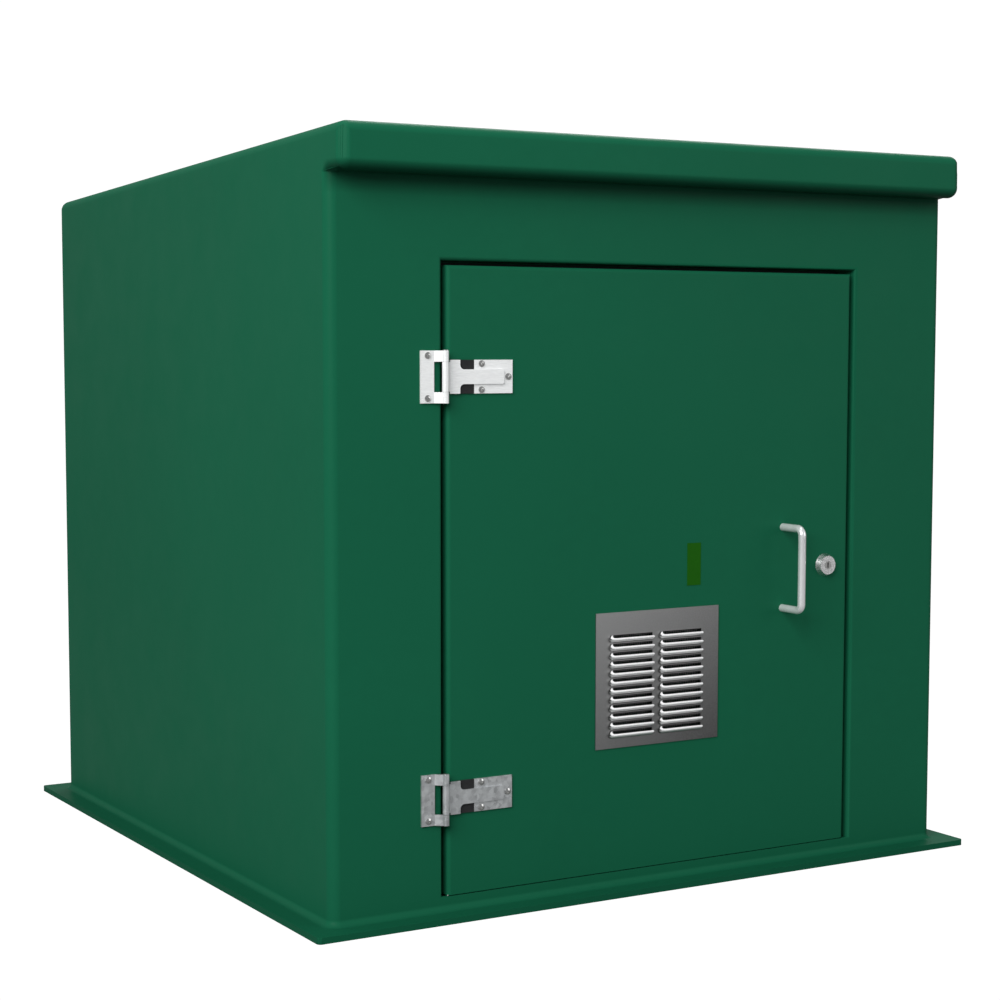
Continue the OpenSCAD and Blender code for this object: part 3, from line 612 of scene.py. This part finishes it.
def sweep(points, faces, line, radii, sides=10):
    """A round bar along a line of points, with a radius at each and both ends closed."""
    first = len(points)
    count = len(line)
    for i, p in enumerate(line):
        ahead = line[min(i + 1, count - 1)] - line[max(i - 1, 0)]
        ahead.normalize()
        up = Vector((0, 0, 1))
        side = ahead.cross(up)
        if side.length < 0.01:
            side = Vector((0, 1, 0))
        side.normalize()
        up = side.cross(ahead)
        for k in range(sides):
            turn = 2 * math.pi * k / sides
            points.append(p + radii[i] * (math.cos(turn) * side + math.sin(turn) * up))
    for i in range(count - 1):
        for k in range(sides):
            a = first + i * sides + k
            b = first + i * sides + (k + 1) % sides
            faces.append((a, b, b + sides, a + sides))
    faces.append(tuple(first + k for k in reversed(range(sides))))
    faces.append(tuple(first + (count - 1) * sides + k for k in range(sides)))


def slotted_plate(points, faces, low, high):
    """The flat plate with a slot above each hood, as a grid of cells whose slots are left open."""
    xs = [low.x]
    for column in (-1, 1):
        middle = LOUVRE_X + column * LOUVRE_COL / 2
        reach = LOUVRE_W / 2 - SLOT_INSET
        xs += [middle - reach, middle + reach]
    xs.append(high.x)
    zs = [low.z]
    for row in range(LOUVRE_ROWS):
        zs += [row_z(row) + SLOT_LOW, row_z(row) + SLOT_HIGH]
    zs.append(high.z)
    index = {}

    def quad(*corners):
        """A face from corners that each give a column, a row, and 0 for the front or 1 for the back."""
        for i, j, back in corners:
            if (i, j, back) not in index:
                index[i, j, back] = len(points)
                points.append(Vector((xs[i], FACE_Y - (0 if back else PLATE_T), zs[j])))
        faces.append(tuple(index[corner] for corner in corners))

    def solid(i, j):
        inside = 0 <= i < len(xs) - 1 and 0 <= j < len(zs) - 1
        slot = i in (1, 3) and j % 2 == 1
        return inside and not slot

    for i in range(len(xs) - 1):
        for j in range(len(zs) - 1):
            if not solid(i, j):
                continue
            right, top = i + 1, j + 1
            quad((i, j, 0), (right, j, 0), (right, top, 0), (i, top, 0))
            quad((i, j, 1), (i, top, 1), (right, top, 1), (right, j, 1))
            if not solid(i - 1, j):
                quad((i, j, 0), (i, top, 0), (i, top, 1), (i, j, 1))
            if not solid(right, j):
                quad((right, j, 0), (right, j, 1), (right, top, 1), (right, top, 0))
            if not solid(i, j - 1):
                quad((i, j, 0), (i, j, 1), (right, j, 1), (right, j, 0))
            if not solid(i, top):
                quad((i, top, 0), (right, top, 0), (right, top, 1), (i, top, 1))


def hood(points, faces, middle_x, z):
    """One pressed hood below its slot: a quarter-round bulge whose two ends turn back to the plate."""
    steps = 7
    arc = 6
    half = LOUVRE_W / 2
    quarter = [math.pi / 2 * k / steps for k in range(steps + 1)]
    plan = [(-half + HOOD_OUT * (1 - math.cos(turn)), HOOD_OUT * math.sin(turn)) for turn in quarter]
    plan += [(-x, out) for x, out in reversed(plan)]
    first = len(points)
    for x, out in plan:
        for j in range(arc + 1):
            turn = math.pi / 2 * j / arc
            points.append(Vector((
                middle_x + x,
                FACE_Y - PLATE_T - out * math.cos(turn) + HOOD_SUNK,
                z - HOOD_DROP * out * math.sin(turn),
            )))
    width = arc + 1
    for i in range(len(plan) - 1):
        for j in range(arc):
            a = first + i * width + j
            faces.append((a, a + 1, a + width + 1, a + width))


def rim(points, faces, middle_x, z):
    """A hood's rolled rim, which curls up to the plate at its left end and stops short at its right."""
    left = middle_x - LOUVRE_W / 2
    path = RIM_CURL + RIM_END
    line = [Vector((left + along, FACE_Y - PLATE_T - out, z + up)) for along, out, up, radius in path]
    sweep(points, faces, line, [radius for along, out, up, radius in path])


def pressed_louvres(sheet):
    """The slotted plate with its hoods in one material, and their rims in another."""
    low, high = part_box("louvre_plate")
    middles = (LOUVRE_X - LOUVRE_COL / 2, LOUVRE_X + LOUVRE_COL / 2)
    places = [(middle_x, row_z(row)) for middle_x in middles for row in range(LOUVRE_ROWS)]
    points, faces = [], []
    slotted_plate(points, faces, low, high)
    for middle_x, z in places:
        hood(points, faces, middle_x, z)
    first_rim = len(faces)
    for middle_x, z in places:
        rim(points, faces, middle_x, z)
    piece = mesh_object("pressed_louvres", points, faces, smooth=True)
    piece.data.set_sharp_from_angle(angle=math.radians(40))
    piece.data.materials.append(sheet)
    piece.data.materials.append(rim_highlight_metal("louvre_rim_highlight"))
    for polygon in piece.data.polygons:
        polygon.material_index = 1 if polygon.index >= first_rim else 0
    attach(piece, "door")
    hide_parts("louvre_plate")
    return piece


# ---------------------------------------------------------------- assembly

def finish_cad_nodes():
    """Paints every CAD node, and returns the finishes by node name."""
    body = gelcoat("body_gelcoat", crease_shaded=True)
    door = gelcoat("door_gelcoat")
    bright = bright_steel("bright_steel")
    zinc = galvanised_steel("galvanised_steel")
    screw = plated("screw_steel", (0.62, 0.62, 0.61), 0.16)
    fastener = plated("zinc_fasteners", (0.62, 0.63, 0.65), 0.35)
    pin = plated("pin_steel", (0.66, 0.66, 0.66), 0.3)
    chrome = plated("handle_chrome", (0.96, 0.97, 0.98), 0.16, 300, metallic=0.55)
    lock = plated("lock_chrome", (0.86, 0.86, 0.86), 0.25, 300)
    plug = plated("plug_metal", (0.42, 0.42, 0.41), 0.4)
    seal = rubber("seal_rubber")
    looks = {
        "body_shell": body, "door_panel": door, "door_seal": seal,
        "equipment_board": timber("plywood", (0.52, 0.34, 0.17), (0.40, 0.24, 0.11), 14),
        "board_battens": timber("pine", (0.58, 0.38, 0.18), (0.44, 0.25, 0.10), 20),
        "upper_hinge_frame_leaf": bright, "upper_hinge_door_leaf": bright, "upper_hinge_clamp_plate": bright,
        "lower_hinge_frame_leaf": zinc, "lower_hinge_door_leaf": zinc, "lower_hinge_clamp_plate": zinc,
        "upper_hinge_pin": pin, "lower_hinge_pin": pin,
        "upper_hinge_pad": rubber("pad_rubber"), "lower_hinge_pad": rubber("pad_rubber_low"),
        "frame_hinge_screws": screw, "door_hinge_screws": screw,
        "louvre_plate": louvre_metal("louvre_metal"),
        "pull_handle": chrome, "lock_body": lock, "lock_plug": plug,
        "label_plate": label_film("label_green"),
    }
    for name, piece in nodes.items():
        paint(piece, looks.get(name, fastener))
    return looks


make_camera()
make_studio()
looks = finish_cad_nodes()
paint(woven_mesh(), plated("mesh_wire", (0.35, 0.35, 0.35), 0.4))
pressed_louvres(looks["louvre_plate"])
paint(soft_shell(), looks["body_shell"])
